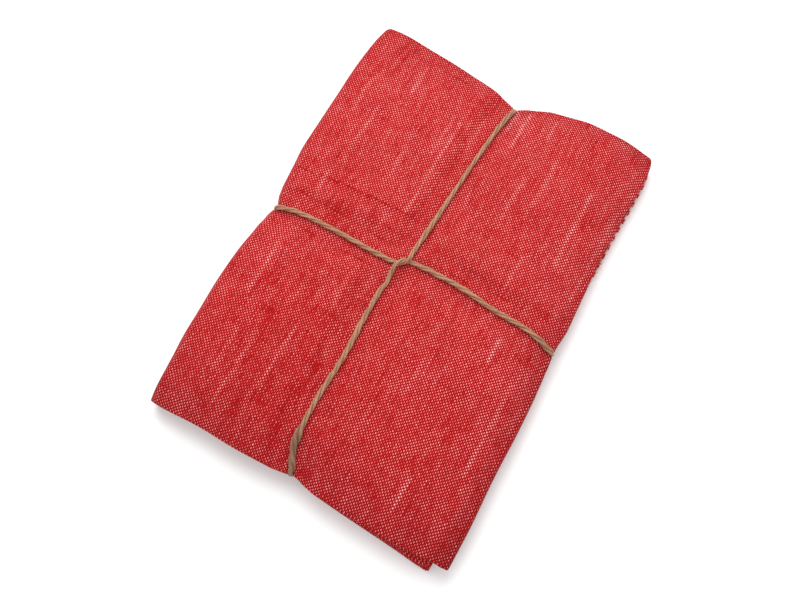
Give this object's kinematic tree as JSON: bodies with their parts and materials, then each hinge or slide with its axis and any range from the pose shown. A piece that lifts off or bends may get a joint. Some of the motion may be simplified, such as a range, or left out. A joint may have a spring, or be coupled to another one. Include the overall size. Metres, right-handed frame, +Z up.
{
  "type": "folded tea towel tied with twine",
  "caption": "Woven slub cotton tea towel, folded to a flat oblong packet and tied crosswise with a loop of jute twine.",
  "frame": {"origin": "on the surface that the packet lies on, under the middle of its box", "axes": "+X across the packet to the side with the hems, +Y along it to the side with the first fold, +Z up"},
  "size_m": [0.178, 0.2512, 0.0201],
  "materials": {
    "cloth": "plain weave of red and white slub cotton yarns, matt",
    "twine": "natural twisted jute, slightly hairy, matt"
  },
  "bodies": {
    "root": {"towel": "cloth", "twine": "twine"}
  },
  "joints": []
}
